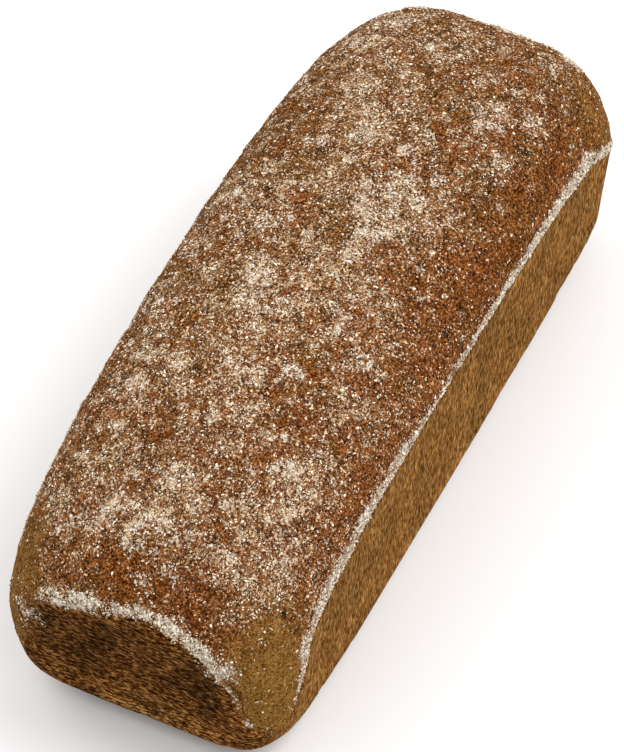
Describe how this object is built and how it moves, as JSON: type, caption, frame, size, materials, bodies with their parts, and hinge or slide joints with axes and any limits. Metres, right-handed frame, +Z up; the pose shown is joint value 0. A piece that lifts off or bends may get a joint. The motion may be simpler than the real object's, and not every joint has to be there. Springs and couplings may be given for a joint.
{
  "type": "whole wheat bread loaf",
  "caption": "Long uncut whole wheat tin loaf: flat pressed walls and base, a risen rounded top crust above a dusty crease, browned and floury",
  "frame": {"origin": "middle of the flat base, on the surface that the loaf rests on", "axes": "X runs along the loaf, Y across it, Z up; the end that the picture shows is at minus X and the long wall that it shows is at minus Y"},
  "size_m": [0.2996, 0.1126, 0.1061],
  "materials": {
    "crust": "matt browned whole wheat crust, darker on the pressed walls, dusted with pale flour",
    "flour": "matt off-white flour dust",
    "bran": "matt pale bran flakes"
  },
  "bodies": {
    "root": {"loaf": "crust"}
  },
  "joints": []
}
